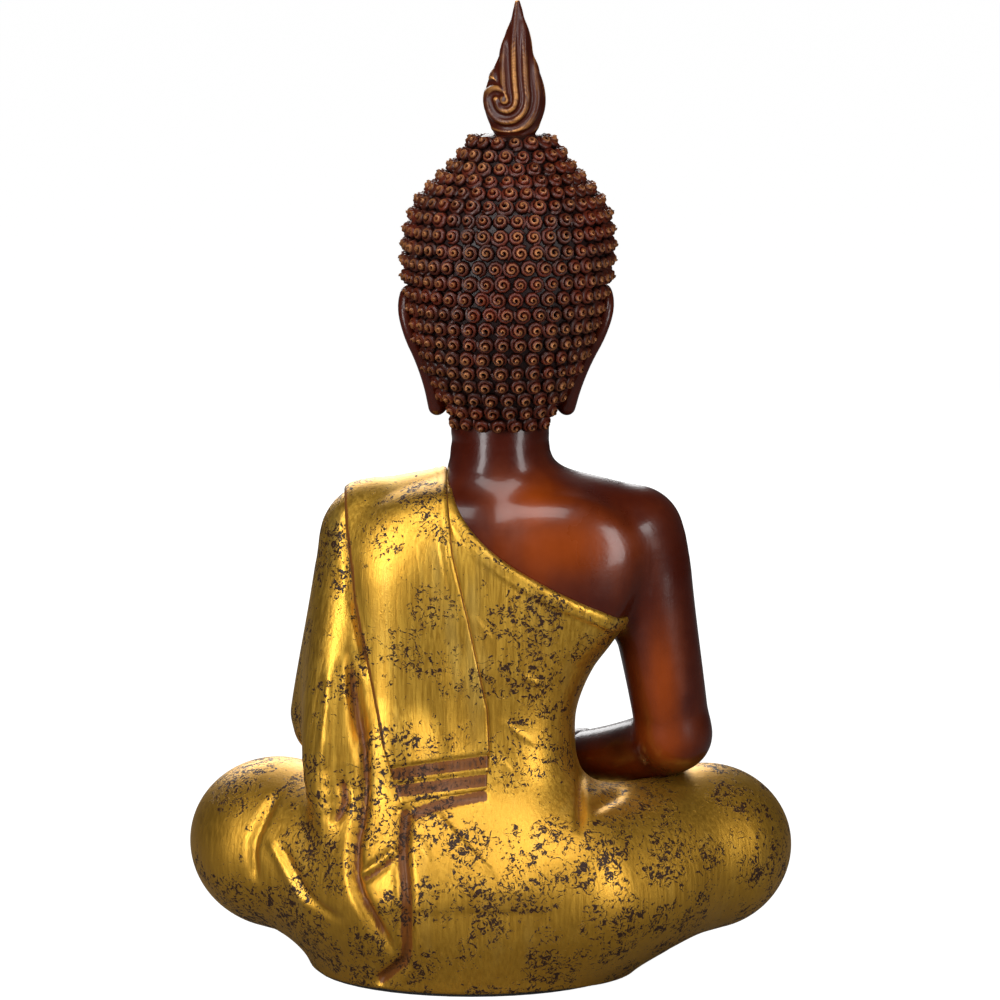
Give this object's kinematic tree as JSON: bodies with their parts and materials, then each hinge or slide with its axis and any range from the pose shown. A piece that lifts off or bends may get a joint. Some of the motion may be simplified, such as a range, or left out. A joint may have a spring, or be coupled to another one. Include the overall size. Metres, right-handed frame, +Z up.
{
  "type": "seated buddha statue",
  "caption": "Seated meditating figure in a one-shoulder robe, with curled hair, a lift-out flame finial and a flat felt-covered base.",
  "frame": {"origin": "middle of the underside of the felt, on the table", "axes": "+Z up; the figure faces -Y, its right side is towards -X"},
  "size_m": [0.248, 0.1456, 0.4],
  "materials": {
    "lacquer": "glossy dark red-brown lacquer on cast metal, rubbed through to orange-brown on high places",
    "gilt": "leaf gilding over cast metal, sponged with dark brown flecks, red-brown in the grooves",
    "hair": "dark red-brown lacquer dry-brushed with bronze on the tips of the curls",
    "flame": "red-brown lacquer with bronze rubbed along the ridges",
    "steel": "plain turned pin",
    "board": "sanded, unfinished",
    "felt": "pressed felt"
  },
  "bodies": {
    "figure": {"seat_casting": "gilt", "torso_casting": "lacquer", "robe_shell": "gilt", "shoulder_sash": "gilt", "right_arm": "lacquer", "left_arm": "gilt", "right_hand": "lacquer", "left_hand": "lacquer", "right_foot": "lacquer", "left_foot": "lacquer", "head_casting": "lacquer", "hair_cap": "hair", "neck_dowel": "steel", "shoulder_dowels": "steel", "wrist_pins": "steel", "waist_pins": "steel", "base_board": "board", "board_screws": "steel", "felt_pad": "felt"},
    "flame": {"flame_finial": "flame", "finial_peg": "steel"}
  },
  "joints": [
    {"name": "flame_lift", "type": "slide", "parent": "figure", "child": "flame", "axis": [0, 0, 1], "range_m": [0, 0.045]}
  ]
}
